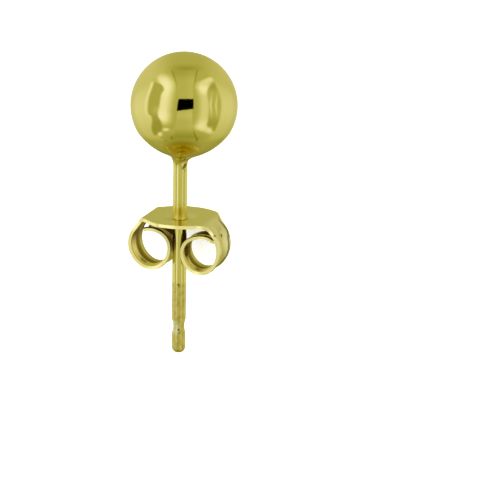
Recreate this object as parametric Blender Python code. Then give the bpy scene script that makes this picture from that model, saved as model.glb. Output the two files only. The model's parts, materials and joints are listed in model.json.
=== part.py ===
"""Ball stud earring: a gold ball soldered to a post, held by a butterfly back.

Everything is modelled in the earring's own frame: Z runs along the post
towards the ball, X across the back from scroll to scroll, and the origin is
on the post's axis, at the plate's ball-side face. At the end the whole
earring is laid down as it rests by itself, on the ball and on one long edge
of the plate, over the middle of its box on the ground.
"""

import math
from collections import namedtuple

import bmesh
import bpy
import numpy as np

MM = 0.001

# Ball and post, one soldered piece
BALL_RADIUS = 3.00 * MM
POST_OFFSET = 0.18 * MM
SOLDER_RADIUS = 1.10 * MM
SOLDER_HEIGHT = 0.73 * MM
POST_RADIUS = 0.40 * MM
FREE_POST = 2.95 * MM
POST_BEYOND_PLATE = 8.10 * MM
TIP_RADIUS = 0.375 * MM
TIP_ROUNDING = 0.26 * MM
GROOVE_FROM_TIP = 1.60 * MM
GROOVE_LENGTH = 0.80 * MM
GROOVE_DEPTH = 0.065 * MM

# Butterfly back, one bent strip
STRIP_THICKNESS = 0.18 * MM
SLIDE_CLEARANCE = 0.05 * MM
HOLE_CHAMFER = 0.10 * MM
PLATE_WIDTH = 4.20 * MM
STRIP_WIDTH = 2.30 * MM
RIB_HEIGHT = 0.05 * MM
GROOVE_BLEND = 0.06 * MM
LEFT_RADIUS = 1.13 * MM
LEFT_ROOF_GAP = 0.46 * MM
LEFT_RIM_GAP = 0.21 * MM
LEFT_FOLD_RADIUS = 0.25 * MM
LEFT_NECK_LENGTH = 0.35 * MM
RIGHT_RADIUS = 1.04 * MM
RIGHT_ROOF_GAP = 0.62 * MM
RIGHT_RIM_GAP = 0.29 * MM
RIGHT_FOLD_RADIUS = 0.30 * MM
RIGHT_NECK_LENGTH = 1.00 * MM

# The ball's underside is pulled in a little towards the solder: between two
# depths below its centre, as shares of the radius, it loses this much radius
# for each unit of depth. The solder then runs in a hollow curve of this power
# and comes over to the post's axis within a share of its height.
TAPER_START = 0.50
TAPER_END = 0.90
TAPER = 0.13
SOLDER_CURVE = 2.75
SOLDER_SHIFT_SPAN = 0.67

# Facets
AROUND_STUD = 48
BALL_RINGS = 26
SOLDER_RINGS = 7
GROOVE_RINGS = 6
TIP_RINGS = 5
AROUND_HOLE = 28
DEGREES_A_STATION = 10

# The plate's outline from the middle to the fold: place along that half as a
# share of its length, and half width as a share of the plate's half width.
PLATE_OUTLINE = (
    (0.00, 1.000),
    (0.16, 1.000),
    (0.32, 0.995),
    (0.47, 0.945),
    (0.62, 0.880),
    (0.80, 0.810),
    (0.92, 0.730),
    (1.00, 0.660),
)

# The strip's taper along a scroll: degrees turned since the plate, and width
# as a share of the strip's width at the shoulder.
STRIP_TAPER = (
    (0, 1.00),
    (60, 1.00),
    (180, 0.76),
    (270, 0.68),
    (400, 0.61),
)

# Bends of each scroll after its shoulder: degrees turned, and radius as a
# share of the scroll's radius. A negative turn flares the free end back.
LEFT_FOLD_TURN = 54
LEFT_BENDS = (
    (41, 1.23),
    (55, 1.32),
    (60, 0.92),
    (60, 0.98),
    (60, 1.05),
    (40, 1.21),
)
RIGHT_FOLD_TURN = 37
RIGHT_BENDS = (
    (53, 1.47),
    (60, 1.54),
    (60, 0.89),
    (60, 1.09),
    (126, 0.92),
    (-42, 0.36),
)

# Places across the strip as shares of its half width, from one edge to the
# other, and the two pressed ribs along a scroll.
ACROSS = (-1, -0.93, -0.75, -0.65, -0.55, -0.45, -0.30, 0, 0.30, 0.45, 0.55, 0.65, 0.75, 0.93, 1)
RIB_PLACE = 0.55
RIB_REACH = 0.20
RIB_START_TURN = 35
RIB_FULL_TURN = 75

# The strip's rounded edges have this share of its thickness. Past this turn a
# scroll stands beside the post, and past the next it runs under the plate.
EDGE_SHARE = 0.55
BESIDE_POST_TURN = 180
ROOF_TURN = 300

# Sizes that follow from the others
TAPERED_SOLDER = SOLDER_RADIUS / BALL_RADIUS + TAPER * (TAPER_END - TAPER_START)
SOLDER_DEPTH = BALL_RADIUS * math.sqrt(1 - TAPERED_SOLDER**2)
BALL_CENTRE_HEIGHT = FREE_POST + SOLDER_HEIGHT + SOLDER_DEPTH
CLEAR_RADIUS = POST_RADIUS + SLIDE_CLEARANCE
HALF_STRIP = STRIP_THICKNESS / 2

Station = namedtuple("Station", "out height turned along")


def smoothstep(share):
    """Ease from 0 to 1 as the share goes from 0 to 1."""
    held = min(max(share, 0.0), 1.0)
    return held * held * (3 - 2 * held)


def table_value(table, place):
    """Read a two-column table at a place between its rows."""
    return float(np.interp(place, [row[0] for row in table], [row[1] for row in table]))


def new_object(name, mesh, parent):
    item = bpy.data.objects.new(name, mesh)
    bpy.context.collection.objects.link(item)
    item.parent = parent
    return item


def gold(name, base_color, roughness):
    material = bpy.data.materials.new(name)
    material.use_nodes = True
    shader = material.node_tree.nodes["Principled BSDF"]
    shader.inputs["Base Color"].default_value = (*base_color, 1.0)
    shader.inputs["Metallic"].default_value = 1.0
    shader.inputs["Roughness"].default_value = roughness
    return material


def closed_loft(name, rings):
    """Join rings of points, all with as many points, into one closed mesh."""
    shell = bmesh.new()
    loops = [[shell.verts.new(point) for point in ring] for ring in rings]
    for lower, upper in zip(loops, loops[1:]):
        for here in range(len(lower)):
            after = (here + 1) % len(lower)
            shell.faces.new((lower[here], lower[after], upper[after], upper[here]))
    shell.faces.new(loops[0][::-1])
    shell.faces.new(loops[-1])
    bmesh.ops.recalc_face_normals(shell, faces=shell.faces)
    mesh = bpy.data.meshes.new(name)
    shell.to_mesh(mesh)
    shell.free()
    return mesh


def shade(item, material, sharp_degrees):
    item.data.materials.append(material)
    item.data.shade_smooth()
    item.data.set_sharp_from_angle(angle=math.radians(sharp_degrees))


def round_ring(radius, height, centre):
    """A level ring round the line x = centre, with a flat side towards -Y and +Y."""
    half_step = math.pi / AROUND_STUD
    angles = [half_step * (2 * step + 1) + math.pi / 2 for step in range(AROUND_STUD)]
    return [(centre + radius * math.cos(a), radius * math.sin(a), height) for a in angles]


def ball_rings():
    """The ball from its top to where the solder starts, round its own centre."""
    rings = []
    last = math.pi - math.asin(TAPERED_SOLDER)
    for step in range(1, BALL_RINGS + 1):
        polar = last * step / BALL_RINGS
        depth = -math.cos(polar)
        share = math.sin(polar) - TAPER * max(0.0, min(depth, TAPER_END) - TAPER_START)
        rings.append(round_ring(BALL_RADIUS * share, BALL_CENTRE_HEIGHT - BALL_RADIUS * depth, POST_OFFSET))
    return rings


def solder_rings():
    """The solder's hollow curve from the ball to the post, which stands off the ball's centre."""
    rings = []
    for step in range(1, SOLDER_RINGS + 1):
        share = step / SOLDER_RINGS
        radius = POST_RADIUS + (SOLDER_RADIUS - POST_RADIUS) * (1 - share) ** SOLDER_CURVE
        height = FREE_POST + SOLDER_HEIGHT * (1 - share)
        rings.append(round_ring(radius, height, POST_OFFSET * (1 - smoothstep(share / SOLDER_SHIFT_SPAN))))
    return rings


def post_rings():
    """The post from the solder to its tip, with the groove that the back clicks into."""
    tip = -POST_BEYOND_PLATE
    groove = tip + GROOVE_FROM_TIP
    rings = []
    for step in range(GROOVE_RINGS + 1):
        share = step / GROOVE_RINGS
        body = POST_RADIUS + (TIP_RADIUS - POST_RADIUS) * share
        radius = body - GROOVE_DEPTH * math.sin(math.pi * share)
        rings.append(round_ring(radius, groove + GROOVE_LENGTH * (0.5 - share), 0))
    for step in range(TIP_RINGS):
        angle = math.pi / 2 * step / TIP_RINGS
        radius = TIP_RADIUS - TIP_ROUNDING * (1 - math.cos(angle))
        rings.append(round_ring(radius, tip + TIP_ROUNDING * (1 - math.sin(angle)), 0))
    rings.append(round_ring(TIP_RADIUS - TIP_ROUNDING, tip, 0))
    return rings


def ball_stud(parent):
    mesh = closed_loft("ball_stud", ball_rings() + solder_rings() + post_rings())
    item = new_object("ball_stud", mesh, parent)
    shade(item, gold("polished_gold", (0.62, 0.54, 0.16), 0.08), 40)
    return item


def follow(start, rows):
    """Walk out from the plate along bends (degrees, radius) and straight runs (0, length)."""
    out, height, turned, along = start, -HALF_STRIP, 0.0, 0.0
    stations = [Station(out, height, turned, along)]
    for degrees, size in rows:
        steps = max(1, math.ceil(abs(degrees) / DEGREES_A_STATION))
        turn = degrees / steps
        arc = size * math.radians(abs(turn)) if degrees else size
        chord = 2 * size * math.sin(math.radians(abs(turn)) / 2) if degrees else size
        for _ in range(steps):
            heading = math.radians(turned + turn / 2)
            out += chord * math.cos(heading)
            height -= chord * math.sin(heading)
            turned += turn
            along += arc
            stations.append(Station(out, height, turned, along))
    return stations


def outer_side(station):
    """The point of the strip's ball-side or outward surface at a station."""
    turned = math.radians(station.turned)
    return station.out + HALF_STRIP * math.sin(turned), station.height + HALF_STRIP * math.cos(turned)


def scroll(radius, roof_gap, rim_gap, fold_turn, fold_radius, bends):
    """A scroll that clears the plate by the roof gap and stands at its rim gap from the axis."""
    fold = (fold_turn, fold_radius)
    round_part = [(degrees, share * radius) for degrees, share in bends]
    trial = follow(0, [fold] + round_part)
    top = max(outer_side(s)[1] for s in trial if s.turned > ROOF_TURN)
    shoulder = (top + STRIP_THICKNESS + roof_gap) / math.sin(math.radians(fold_turn))
    rows = [fold, (0, shoulder)] + round_part
    nearest = min(outer_side(s)[0] for s in follow(0, rows) if s.turned > BESIDE_POST_TURN)
    return follow(rim_gap - nearest, rows)


def rib_lift(station, place):
    """How far the two pressed ribs lift the strip outwards at a place across it."""
    grown = (station.turned - RIB_START_TURN) / (RIB_FULL_TURN - RIB_START_TURN)
    away = abs(abs(place) - RIB_PLACE) / RIB_REACH
    return RIB_HEIGHT * smoothstep(grown) * (1 - smoothstep(away))


def post_push(out, across):
    """How far out the wall beside the post is pressed so that the post slides through."""
    reach = CLEAR_RADIUS**2 - across**2
    needed = math.sqrt(reach) if reach > 0 else 0.0
    lead = out - needed
    return (math.sqrt(lead**2 + GROOVE_BLEND**2) - lead) / 2


def half_width(station, neck_length):
    """The strip's half width along a scroll, with a neck after the plate."""
    plate_end = PLATE_WIDTH / 2 * PLATE_OUTLINE[-1][1]
    strip = STRIP_WIDTH / 2 * table_value(STRIP_TAPER, station.turned)
    return plate_end + (strip - plate_end) * smoothstep(station.along / neck_length)


def section(station, side, half):
    """The closed outline across the strip at one station, outer surface first."""
    turned = math.radians(station.turned)
    beside_post = station.turned > BESIDE_POST_TURN
    outer, inner = [], []
    for place in ACROSS:
        across = place * half
        edge = EDGE_SHARE if abs(place) == 1 else 1
        lift = rib_lift(station, place)
        surface = station.out + (lift + HALF_STRIP) * math.sin(turned)
        push = post_push(surface, across) if beside_post else 0
        for points, offset in ((outer, lift + HALF_STRIP * edge), (inner, lift - HALF_STRIP * edge)):
            out = station.out + offset * math.sin(turned) + push
            points.append((side * out, across, station.height + offset * math.cos(turned)))
    return outer + inner[::-1]


def plate_sections(left_length, right_length):
    """Sections of the flat plate between the two folds, whose own sections end it."""
    places = [(-place * left_length, width) for place, width in PLATE_OUTLINE[-2:0:-1]]
    places += [(place * right_length, width) for place, width in PLATE_OUTLINE[:-1]]
    return [section(Station(out, -HALF_STRIP, 0, 0), 1, PLATE_WIDTH / 2 * width) for out, width in places]


def hole_cutter(parent):
    """A turned cutter: the hole for the post, chamfered on the ball side."""
    hole = CLEAR_RADIUS
    profile = (
        (hole, -2 * STRIP_THICKNESS),
        (hole, -HOLE_CHAMFER),
        (hole + 2 * HOLE_CHAMFER, HOLE_CHAMFER),
    )
    rings = []
    for radius, height in profile:
        angles = [math.tau * step / AROUND_HOLE for step in range(AROUND_HOLE)]
        rings.append([(radius * math.cos(a), radius * math.sin(a), height) for a in angles])
    cutter = new_object("hole_cutter", closed_loft("hole_cutter", rings), parent)
    cutter.hide_render = True
    cutter.display_type = "WIRE"
    return cutter


def butterfly_back(parent):
    left = scroll(
        LEFT_RADIUS, LEFT_ROOF_GAP, LEFT_RIM_GAP, LEFT_FOLD_TURN, LEFT_FOLD_RADIUS, LEFT_BENDS
    )
    right = scroll(
        RIGHT_RADIUS, RIGHT_ROOF_GAP, RIGHT_RIM_GAP, RIGHT_FOLD_TURN, RIGHT_FOLD_RADIUS, RIGHT_BENDS
    )
    left_rings = [section(s, -1, half_width(s, LEFT_NECK_LENGTH)) for s in left]
    right_rings = [section(s, 1, half_width(s, RIGHT_NECK_LENGTH)) for s in right]
    rings = left_rings[::-1] + plate_sections(left[0].out, right[0].out) + right_rings
    item = new_object("butterfly_back", closed_loft("butterfly_back", rings), parent)
    shade(item, gold("satin_gold", (0.60, 0.53, 0.20), 0.18), 35)
    hole = item.modifiers.new("post_hole", "BOOLEAN")
    hole.operation = "DIFFERENCE"
    hole.solver = "EXACT"
    hole.object = hole_cutter(parent)
    return item


def points_of(item):
    return np.array([vertex.co for vertex in item.data.vertices])


def lay_down(holder, stud, back):
    """Tip the earring over until the ball and the plate's edge touch the ground together."""
    stud_points, back_points = points_of(stud), points_of(back)
    ball_points = stud_points[stud_points[:, 2] > 0]

    def heights(points, tilt):
        return points[:, 2] * math.sin(tilt) - points[:, 1] * math.cos(tilt)

    low, high = 0.0, math.radians(60)
    for _ in range(60):
        tilt = (low + high) / 2
        if heights(ball_points, tilt).min() < heights(back_points, tilt).min():
            low = tilt
        else:
            high = tilt
    every = np.vstack((stud_points, back_points))
    lengths = every[:, 2] * math.cos(tilt) + every[:, 1] * math.sin(tilt)
    holder.rotation_euler = (tilt - math.pi / 2, 0, 0)
    holder.location = (
        -(every[:, 0].min() + every[:, 0].max()) / 2,
        -(lengths.min() + lengths.max()) / 2,
        -heights(every, tilt).min(),
    )


def build():
    for item in list(bpy.data.objects):
        bpy.data.objects.remove(item, do_unlink=True)
    holder = new_object("earring", None, None)
    stud = ball_stud(holder)
    back = butterfly_back(holder)
    lay_down(holder, stud, back)
    bpy.context.view_layer.update()


build()
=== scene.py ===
# %% [markdown]
# A ball stud earring, lying by itself on a pale table.
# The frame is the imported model: two solids, the soldered stud and its
# butterfly back, and the joint that lets the back slide along the post.
# This file gives both their real finish and leaves their sizes alone.

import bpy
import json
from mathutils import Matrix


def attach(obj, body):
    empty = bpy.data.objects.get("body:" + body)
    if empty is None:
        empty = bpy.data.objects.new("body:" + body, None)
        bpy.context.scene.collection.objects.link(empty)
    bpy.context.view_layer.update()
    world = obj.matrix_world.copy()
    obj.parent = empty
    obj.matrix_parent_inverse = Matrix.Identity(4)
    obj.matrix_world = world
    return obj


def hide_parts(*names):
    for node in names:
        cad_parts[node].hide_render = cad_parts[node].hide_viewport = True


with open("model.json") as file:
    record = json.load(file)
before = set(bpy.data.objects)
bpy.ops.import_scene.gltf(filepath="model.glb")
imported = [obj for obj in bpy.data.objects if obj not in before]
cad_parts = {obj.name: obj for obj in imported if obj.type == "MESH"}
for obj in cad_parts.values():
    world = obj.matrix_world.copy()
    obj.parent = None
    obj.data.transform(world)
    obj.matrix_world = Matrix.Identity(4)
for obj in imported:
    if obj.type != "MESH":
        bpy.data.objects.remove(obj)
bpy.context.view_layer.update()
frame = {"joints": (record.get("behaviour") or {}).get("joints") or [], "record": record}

# %% [markdown]
# A jeweller measures an earring from its post, so this lesson does too.
# The earring's own frame has Z along the post towards the ball, X across
# the back from scroll to scroll, and Y away from the viewer. Its origin is
# on the post's axis, at the ball side of the flat plate. Pieces are
# modelled there in millimetres, upright, and laid down when they are done,
# because Blender's tools are at ease with lengths near 1 and not near 0.001.

# %% The earring's own frame
import json
import math

import bmesh
import bpy
from mathutils import Matrix, Vector
from mathutils.kdtree import KDTree

MM = 0.001
MOUNT_FROM_POST = 1.30

along = -Vector(frame["joints"][0]["axis"])
across = Vector((1, 0, 0))
away = along.cross(across)
origin = Vector(frame["record"]["mounts"][0]["pos_m"]) - MOUNT_FROM_POST * MM * across
axes = Matrix((across, away, along)).transposed()
LAID_DOWN = Matrix.Translation(origin) @ axes.to_4x4() @ Matrix.Scale(MM, 4)


def in_world(x, y, z):
    """A place in the earring's own frame, in millimetres, as a point in the world."""
    return LAID_DOWN @ Vector((x, y, z))


print("The post rises by %.2f degrees" % math.degrees(math.asin(along.z)))

# %% [markdown]
# The photograph looks down on the plate by 15 degrees and past the post
# from its right. The camera could be placed by eye, but the scrolls' round
# rims give these angles well, so they are worked out from the earring's
# own axes. A long lens keeps the post's sides parallel, as in the picture.

# %% The camera
LOOKS_DOWN = math.radians(15.4)
FROM_THE_RIGHT = math.radians(20.6)
LEANS = math.radians(0.65)
CAMERA_DISTANCE = 160
PICTURE_SIDE = 500
PIXELS_PER_MM = 17.8
SENSOR = 36
BALL_CENTRE = (0.18, 0, 6.404)
BALL_PIXEL = (184.0, 105.2)

sideways = math.sin(FROM_THE_RIGHT) * across - math.cos(FROM_THE_RIGHT) * away
toward_camera = math.cos(LOOKS_DOWN) * sideways + math.sin(LOOKS_DOWN) * along
upright = (along - along.dot(toward_camera) * toward_camera).normalized()
rightward = upright.cross(toward_camera)
picture_right = math.cos(LEANS) * rightward + math.sin(LEANS) * upright
picture_up = math.cos(LEANS) * upright - math.sin(LEANS) * rightward
camera_axes = Matrix((picture_right, picture_up, toward_camera)).transposed()
camera_place = in_world(0, 0, 1) + CAMERA_DISTANCE * MM * toward_camera
focal_pixels = PIXELS_PER_MM * CAMERA_DISTANCE

to_ball = camera_axes.transposed() @ (in_world(*BALL_CENTRE) - camera_place)
wanted = Vector((BALL_PIXEL[0] - PICTURE_SIDE / 2, PICTURE_SIDE / 2 - BALL_PIXEL[1], -focal_pixels))
aim = wanted.rotation_difference(to_ball).to_matrix()

bpy.ops.object.camera_add()
camera = bpy.context.object
camera.name = "camera"
camera.matrix_world = Matrix.Translation(camera_place) @ (camera_axes @ aim).to_4x4()
camera.data.sensor_width = SENSOR
camera.data.lens = focal_pixels / PICTURE_SIDE * SENSOR
camera.data.clip_start = 10 * MM
bpy.context.scene.camera = camera
print("Lens %.0f mm, %.0f degrees above the table" % (
    camera.data.lens, math.degrees(math.asin(toward_camera.z))))

# %% [markdown]
# Shader nodes are sums in disguise, and a page of links hides them. Here a
# socket is wrapped so that ordinary + - * / make the Math nodes, and one
# method makes any other node: its settings first, then what goes into it.

# %% Shader sums


class Wire:
    """A node's output that can be used in plain sums."""

    def __init__(self, socket):
        self.socket = socket

    def node(self, kind, settings=None, sockets=None, output=0):
        """Add a node of this kind, set it up, and fill its sockets with values or wires."""
        tree = self.socket.id_data
        made = tree.nodes.new(kind)
        for name, value in (settings or {}).items():
            if name == "curve":
                points = made.mapping.curves[0].points
                points[0].location, points[-1].location = value[0], value[-1]
                for place in value[1:-1]:
                    points.new(*place)
                made.mapping.update()
            else:
                setattr(made, name, value)
        for name, value in (sockets or {}).items():
            if isinstance(value, Wire):
                tree.links.new(value.socket, made.inputs[name])
            else:
                made.inputs[name].default_value = value
        return Wire(made.outputs[output]) if made.outputs else None

    def maths(self, operation, *values):
        return self.node("ShaderNodeMath", {"operation": operation}, dict(enumerate(values)))

    def __add__(self, other):
        return self.maths("ADD", self, other)

    def __radd__(self, other):
        return self.maths("ADD", other, self)

    def __sub__(self, other):
        return self.maths("SUBTRACT", self, other)

    def __rsub__(self, other):
        return self.maths("SUBTRACT", other, self)

    def __mul__(self, other):
        return self.maths("MULTIPLY", self, other)

    def __rmul__(self, other):
        return self.maths("MULTIPLY", other, self)

    def __truediv__(self, other):
        return self.maths("DIVIDE", self, other)

    def __pow__(self, other):
        return self.maths("POWER", self, other)

    def size(self):
        return self.maths("ABSOLUTE", self)

    def rise(self, low, high):
        """Ease from 0 to 1 as this goes from low to high."""
        ease = {"interpolation_type": "SMOOTHSTEP"}
        return self.node("ShaderNodeMapRange", ease, {"Value": self, "From Min": low, "From Max": high})

    def hump(self, middle, reach):
        """1 at the middle, easing to 0 at that reach on both sides."""
        return 1 - (self - middle).size().rise(0, reach)

    def toward(self, value, factor):
        """This where the factor is 0, and the value where it is 1."""
        return self + (value - self) * factor

    def drawn(self, *points):
        """Follow a curve drawn through these points, which go from -1 to 1 both ways."""
        curve = [((place + 1) / 2, (value + 1) / 2) for place, value in points]
        followed = self.node("ShaderNodeFloatCurve", {"curve": curve}, {"Value": 0.5 * self + 0.5})
        return 2 * followed - 1


def between(factor, low, high):
    """A colour between two others."""
    sockets = {0: factor, 6: low, 7: high}
    return factor.node("ShaderNodeMix", {"data_type": "RGBA"}, sockets, output=2)


# %% [markdown]
# Polished gold has hardly any look of its own: it shows the room. Small
# gold is photographed in a light tent, a white cloth all round with a slot
# for the lens, and what the ball shows is that tent: bright cloth on both
# sides, its seams, and the black slot in the middle. Lamps and cards could
# be set up round the earring, but they would stand in the way of any other
# view. So the tent is the world itself, as far away as the sky.
#
# A place on the tent is found where a mirror ball would show it to the
# lens: halfway between the direction to that place and the direction to
# the lens. The two numbers run from -1 to 1 across the ball.

# %% The light tent
world = bpy.data.worlds.new("light_tent")
world.use_nodes = True
world.cycles.sampling_method = "NONE"
bpy.context.scene.world = world
world.node_tree.nodes.clear()
start = Wire(world.node_tree.nodes.new("ShaderNodeTexCoord").outputs["Generated"])


def vector_maths(operation, first, second):
    output = 1 if operation == "DOT_PRODUCT" else 0
    return start.node("ShaderNodeVectorMath", {"operation": operation}, {0: first, 1: second}, output)


halfway = vector_maths("ADD", start, tuple(toward_camera))
halfway = halfway.node("ShaderNodeVectorMath", {"operation": "NORMALIZE"}, {0: halfway})
across_ball = vector_maths("DOT_PRODUCT", halfway, tuple(picture_right))
up_ball = vector_maths("DOT_PRODUCT", halfway, tuple(picture_up))
print("The tent is seen along", [round(part, 3) for part in toward_camera])

# %% [markdown]
# The cloth is painted from the back to the front, as grey levels, and each
# sheet covers part of what is behind it. A fold is the space between two
# edges, each drawn through a few (height, place) points from its low end to
# its high one, and soft where the real cloth turns away slowly. All places,
# heights and reaches are in the two numbers that run from -1 to 1.

# %% Folds, spots and bands
CRISP = 0.012
SOFT = 0.03
VERY_SOFT = 0.05


def fold(left, right, soft=CRISP):
    """1 between two drawn edges, easing over their softness."""
    low, high = left[0][0], left[-1][0]
    reach = up_ball.rise(low - soft, low + soft) * (1 - up_ball.rise(high - soft, high + soft))
    past_left = (across_ball - up_ball.drawn(*left)).rise(-soft, soft)
    before_right = (up_ball.drawn(*right) - across_ball).rise(-soft, soft)
    return past_left * before_right * reach


def spot(place, height, wide, tall):
    """1 in the middle of a soft oval spot."""
    return across_ball.hump(place, wide) * up_ball.hump(height, tall)


def band(core, left_side, right_side, steady, brighter, low_end, high_end, fading=1):
    """A strip of light along a drawn core, brighter at some heights, easing off to its sides and ends."""
    off_core = across_ball - up_ball.drawn(*core)
    strength = steady + sum(gain * up_ball.hump(height, reach) for gain, height, reach in brighter)
    strip = off_core.rise(*left_side) * (1 - off_core.rise(*right_side))
    return strip * strength * up_ball.rise(*low_end) * (1 - fading * up_ball.rise(*high_end))


# %% [markdown]
# The sides and the back come first. They are lit round the middle, darker
# where they turn away at the ball's outline, and darker at the crown, where
# the cloth is gathered.

# %% The sides and the crown
SIDES = 0.52
LIT_BELT = 0.25
RIGHT_SHADE = 0.05
LOW_SHADE = 0.10
OUTLINE_SHADE = 0.16
CROWN = 0.47
CROWN_LEFT = 0.17
CROWN_RIGHT = 0.12
CROWN_BOW = 0.45
GATHER_SHADE = 0.13

level = SIDES + LIT_BELT * up_ball.hump(-0.02, 0.85) - RIGHT_SHADE * across_ball.rise(0.3, 0.9)
level = level - LOW_SHADE * ((0 - up_ball).rise(0.5, 0.75) + spot(0, -0.72, 0.6, 0.2))
out_from_middle = across_ball * across_ball + up_ball * up_ball
level = level * (1 - OUTLINE_SHADE * out_from_middle.rise(0.76, 0.96))
crown = CROWN + CROWN_LEFT * (0 - across_ball).rise(0.1, 0.65) + CROWN_RIGHT * across_ball.rise(0.2, 0.75)
level = level.toward(crown, (up_ball + CROWN_BOW * across_ball * across_ball).rise(0.50, 0.70))
level = level - GATHER_SHADE * spot(0.03, 0.655, 0.42, 0.12)

# %% [markdown]
# The front sheet hangs on both sides of the lens, and the lamps behind it
# make a bright band on each side. It is darker low down, by the table.

# %% The front sheet
FRONT_LEFT = ((-0.66, -0.40), (-0.40, -0.56), (0.0, -0.60), (0.40, -0.54), (0.60, -0.44))
FRONT_RIGHT = ((-0.66, 0.44), (-0.40, 0.58), (0.0, 0.58), (0.40, 0.56), (0.60, 0.40))
LEFT_CORE = (
    (-0.36, -0.38), (-0.2, -0.405), (0, -0.385), (0.2, -0.35), (0.36, -0.33), (0.48, -0.38), (0.58, -0.46)
)
RIGHT_CORE = (
    (-0.50, 0.44), (-0.42, 0.33), (-0.32, 0.37), (0, 0.41), (0.24, 0.385), (0.36, 0.36), (0.45, 0.46)
)
LEFT_STEADY = 0.84
RIGHT_STEADY = 0.52
LEFT_BRIGHTER = ((0.16, 0.32, 0.26), (0.12, -0.2, 0.12))
RIGHT_BRIGHTER = ((0.48, 0.28, 0.16), (0.30, -0.40, 0.18), (0.25, 0.5, 0.16))
FRONT = 0.48
FRONT_LOW = 0.34
LEFT_BAND = 0.52
RIGHT_BAND = 0.50
DIMPLE_SHADE = 0.06

left_band = band(
    LEFT_CORE, (-0.20, -0.04), (0.02, 0.24), LEFT_STEADY, LEFT_BRIGHTER, (-0.42, -0.26), (0.44, 0.62), 0.7
)
right_band = band(
    RIGHT_CORE, (-0.20, -0.03), (0.03, 0.20), RIGHT_STEADY, RIGHT_BRIGHTER, (-0.60, -0.42), (0.50, 0.60)
)
front = FRONT + LEFT_BAND * left_band + RIGHT_BAND * right_band
front = front - DIMPLE_SHADE * spot(-0.24, -0.34, 0.12, 0.16)
low_middle = (0 - up_ball).rise(0.46, 0.68) * (1 - across_ball.size().rise(0.2, 0.6))
front = front.toward(FRONT_LOW, low_middle)
level = level.toward(front, fold(FRONT_LEFT, FRONT_RIGHT, VERY_SOFT))

# %% [markdown]
# The middle panel is sewn in. Its two seams lean together downwards and
# show only near the top, except the right one, which shows again low down.

# %% The panel and its seams
LEFT_SEAM = (
    (-0.62, -0.20), (-0.40, -0.16), (0.10, -0.11), (0.30, -0.135), (0.46, -0.16), (0.62, -0.225)
)
RIGHT_SEAM = (
    (-0.62, 0.24), (-0.44, 0.17), (0.10, 0.165), (0.30, 0.175), (0.46, 0.205), (0.62, 0.24)
)
PANEL = 0.51
PANEL_RIGHT = 0.04
PANEL_TOP_SHADE = 0.10
PANEL_BELT = 0.06
PANEL_LOW = 0.32
SEAM_SHADE = 0.36
SEAM_REACH = 0.022
FOOT_SHADE = 0.34
FOOT_REACH = 0.035

panel = PANEL + PANEL_RIGHT * across_ball.rise(0, 0.14) - PANEL_TOP_SHADE * up_ball.rise(0.42, 0.62)
panel = panel + PANEL_BELT * up_ball.hump(-0.2, 0.12)
panel = panel.toward(PANEL_LOW, (0 - up_ball).rise(0.40, 0.62))
level = level.toward(panel, fold(LEFT_SEAM, RIGHT_SEAM))
seam_shows = up_ball.rise(0.18, 0.56) * (1 - up_ball.rise(0.61, 0.65))
for seam in (LEFT_SEAM, RIGHT_SEAM):
    on_seam = (across_ball - up_ball.drawn(*seam)).hump(0, SEAM_REACH)
    level = level * (1 - SEAM_SHADE * on_seam * seam_shows)
seam_foot = (across_ball - up_ball.drawn(*RIGHT_SEAM)).hump(0, FOOT_REACH) * up_ball.hump(-0.55, 0.13)
level = level * (1 - FOOT_SHADE * seam_foot)

# %% [markdown]
# Outside the bright bands the front sheet folds back, dark, and its left
# edge catches the light. Small folds and bright corners follow low down,
# where the cloth is tied under the lens. The black slot comes last.

# %% The dark folds and the slot
LEFT_EDGE = (
    (-0.57, -0.54), (-0.48, -0.60), (-0.22, -0.60), (-0.16, -0.66), (0, -0.67), (0.16, -0.64), (0.32, -0.58),
    (0.42, -0.55),
)
LEFT_INNER = (
    (-0.57, -0.53), (-0.49, -0.42), (-0.33, -0.42), (-0.2, -0.48), (0, -0.45), (0.18, -0.42), (0.30, -0.37),
    (0.42, -0.53),
)
RIGHT_INNER = (
    (-0.48, 0.54), (-0.38, 0.43), (-0.30, 0.44), (0, 0.455), (0.26, 0.43), (0.32, 0.46), (0.42, 0.54)
)
RIGHT_EDGE = (
    (-0.48, 0.57), (-0.38, 0.62), (-0.2, 0.67), (0, 0.69), (0.2, 0.655), (0.32, 0.60), (0.42, 0.55)
)
SLOT_LEFT = ((-0.125, -0.135), (0, -0.122), (0.102, -0.10))
SLOT_RIGHT = ((-0.125, 0.175), (0, 0.178), (0.102, 0.178))
SLOT_SOFT = 0.010
LIT = 0.88
LIT_WIDTH = 0.055
LIT_SOFT = 0.022
LEFT_DARK = 0.45
RIGHT_DARK = 0.50
FOLD_SHADE = 0.10
RIGHT_LOW_SHADE = 0.12
STREAK_LIGHT = 0.24
STREAK_BOW = 0.10
SMALL_SHADE = 0.35
SMALL_FOLDS = ((-0.23, -0.61, 0.05, 0.06), (-0.34, -0.68, 0.06, 0.035), (0.24, -0.65, 0.05, 0.07))
BRIGHT_CORNERS = ((-0.45, -0.54, 0.07, 0.06), (-0.34, -0.46, 0.10, 0.05), (0.47, -0.47, 0.09, 0.09))

outer_edge = tuple((height, place - LIT_WIDTH) for height, place in LEFT_EDGE)
level = level.toward(LIT, fold(outer_edge, LEFT_EDGE, LIT_SOFT) * up_ball.rise(-0.4, 0.1))
left_dark = LEFT_DARK - FOLD_SHADE * ((0 - up_ball).rise(0.1, 0.4) - spot(-0.50, -0.10, 0.12, 0.12))
level = level.toward(left_dark, fold(LEFT_EDGE, LEFT_INNER, SOFT))

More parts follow.
